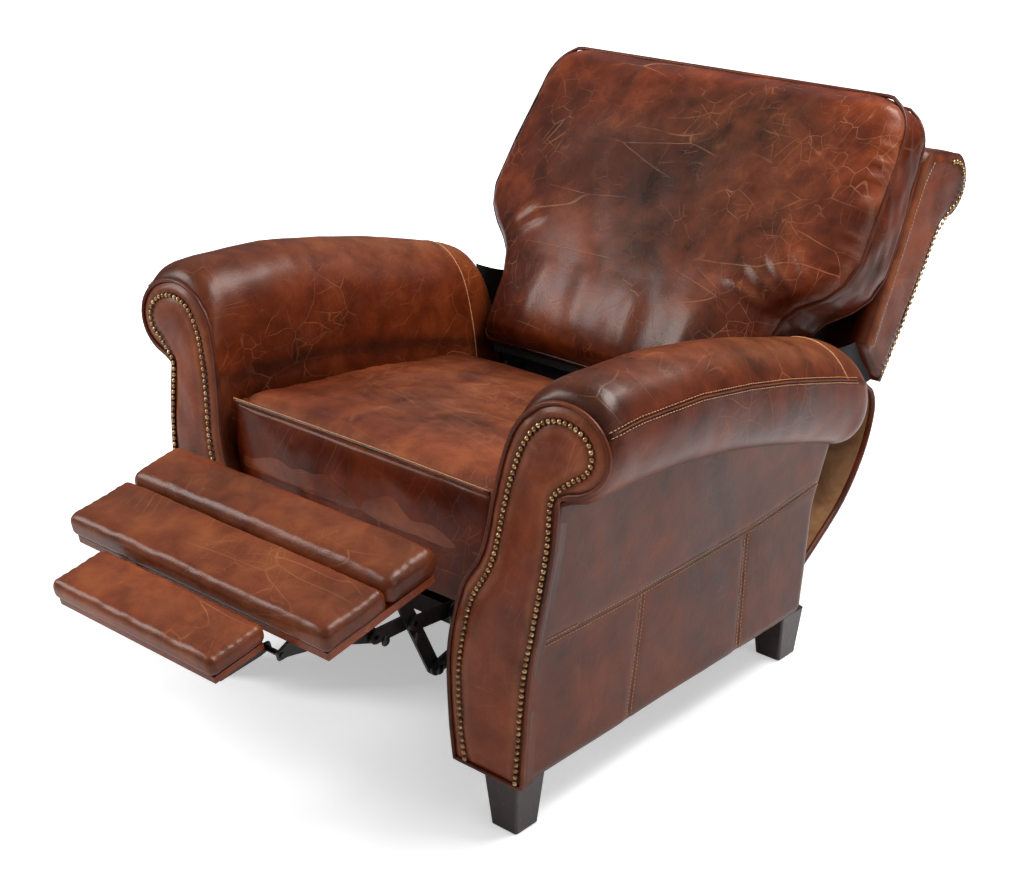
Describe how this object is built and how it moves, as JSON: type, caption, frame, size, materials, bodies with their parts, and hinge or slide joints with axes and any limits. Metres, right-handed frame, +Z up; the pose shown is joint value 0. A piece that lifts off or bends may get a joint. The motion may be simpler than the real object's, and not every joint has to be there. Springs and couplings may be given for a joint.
{
  "type": "recliner armchair",
  "caption": "Push-back recliner armchair with rolled arms, a T-shaped back cushion, folding footrest on scissor links, nailhead trim and tapered wooden feet.",
  "frame": {"origin": "on the floor, under the middle of the open chair's box", "axes": "+X across the chair, to the right seen from the front; +Y towards the back; +Z up; the sitter faces -Y"},
  "size_m": [0.95, 1.505, 0.8853],
  "materials": {
    "leather": "glossy pull-up cowhide, chestnut brown, antiqued",
    "suede": "flesh side of the hide, napped, matt",
    "dark_wood": "espresso-stained hardwood, satin lacquer",
    "frame_wood": "kiln-dried hardwood, bare",
    "black_steel": "black powder coat, satin",
    "spring_steel": "grey enamelled spring wire deck",
    "cambric": "black non-woven cambric"
  },
  "bodies": {
    "base": {"foot_front_left": "dark_wood", "foot_front_right": "dark_wood", "foot_rear_left": "dark_wood", "foot_rear_right": "dark_wood", "arm_facing_left": "leather", "arm_facing_right": "leather", "arm_roll_left": "leather", "arm_roll_right": "leather", "outside_arm_left": "leather", "outside_arm_right": "leather", "inside_arm_left": "leather", "inside_arm_right": "leather", "arm_bottom_rail_left": "frame_wood", "arm_bottom_rail_right": "frame_wood", "arm_front_post_left": "frame_wood", "arm_front_post_right": "frame_wood", "arm_rear_post_left": "frame_wood", "arm_rear_post_right": "frame_wood", "mechanism_plate_left": "black_steel", "mechanism_plate_right": "black_steel", "front_cross_rail": "frame_wood", "rear_cross_rail": "frame_wood", "rear_flap": "suede"},
    "seat": {"seat_cushion": "leather", "seat_apron": "leather", "seat_side_rail_left": "frame_wood", "seat_side_rail_right": "frame_wood", "seat_spring_deck": "spring_steel"},
    "back": {"back_stile_left": "frame_wood", "back_stile_right": "frame_wood", "back_bracket_left": "black_steel", "back_bracket_right": "black_steel", "back_side_left": "leather", "back_side_right": "leather", "back_top_rail": "frame_wood", "back_bottom_rail": "frame_wood", "back_webbing": "cambric", "outside_back": "leather", "back_scroll": "leather", "back_cushion": "leather"},
    "rear_links": {"rear_link_left": "black_steel", "rear_link_right": "black_steel"},
    "stay_links": {"stay_link_left": "black_steel", "stay_link_right": "black_steel"},
    "main_links": {"main_link_left": "black_steel", "main_link_right": "black_steel"},
    "fore_links": {"fore_link_left": "black_steel", "fore_link_right": "black_steel"},
    "board_links": {"board_link_left": "black_steel", "board_link_right": "black_steel"},
    "footrest": {"footrest_board": "cambric", "footrest_roll_pad": "leather", "footrest_main_pad": "leather", "footrest_bracket_left": "black_steel", "footrest_bracket_right": "black_steel", "flipper_rod": "black_steel"},
    "flipper": {"flipper_pad": "leather", "flipper_board": "cambric", "flipper_arm_left": "black_steel", "flipper_arm_right": "black_steel"}
  },
  "joints": [
    {"name": "back_recline", "type": "hinge", "parent": "base", "child": "back", "pos_m": [0, 0.24197, 0.375], "axis": [1, 0, 0], "range_deg": [0, 22], "deforming": ["rear_flap"]},
    {"name": "seat_slide", "type": "slide", "parent": "base", "child": "seat", "axis": [0, 0.9925, -0.1219], "range_m": [0, 0.0202]},
    {"name": "rear_link_swing", "type": "hinge", "parent": "base", "child": "rear_links", "pos_m": [0, -0.28803, 0.235], "axis": [1, 0, 0], "range_deg": [0, 84.99]},
    {"name": "stay_link_swing", "type": "hinge", "parent": "base", "child": "stay_links", "pos_m": [0, -0.34933, 0.2916], "axis": [1, 0, 0], "range_deg": [0, 114.75]},
    {"name": "main_link_swing", "type": "hinge", "parent": "rear_links", "child": "main_links", "pos_m": [0, -0.38303, 0.209], "axis": [1, 0, 0], "range_deg": [-77.45, 0]},
    {"name": "fore_link_swing", "type": "hinge", "parent": "main_links", "child": "fore_links", "pos_m": [0, -0.42404, 0.29702], "axis": [1, 0, 0], "range_deg": [0, 115.13]},
    {"name": "footrest_tilt", "type": "hinge", "parent": "main_links", "child": "footrest", "pos_m": [0, -0.44917, 0.35096], "axis": [1, 0, 0], "range_deg": [0, 65.68]},
    {"name": "board_link_swing", "type": "hinge", "parent": "footrest", "child": "board_links", "pos_m": [0, -0.55034, 0.32111], "axis": [1, 0, 0], "range_deg": [-52.55, 0]},
    {"name": "flipper_fold", "type": "hinge", "parent": "footrest", "child": "flipper", "pos_m": [0, -0.64618, 0.33203], "axis": [1, 0, 0], "range_deg": [0, 177.76]}
  ],
  "couplings": [
    {"joint": "seat_slide", "follows": "back_recline", "m_per_rad": 0.052087},
    {"joint": "rear_link_swing", "follows": "back_recline", "ratio": 3.8251},
    {"joint": "stay_link_swing", "follows": "back_recline", "ratio": 5.1642},
    {"joint": "main_link_swing", "follows": "back_recline", "ratio": -3.4854},
    {"joint": "fore_link_swing", "follows": "back_recline", "ratio": 5.1814},
    {"joint": "footrest_tilt", "follows": "back_recline", "ratio": 2.9558},
    {"joint": "board_link_swing", "follows": "back_recline", "ratio": -2.3648},
    {"joint": "flipper_fold", "follows": "back_recline", "ratio": 8}
  ]
}
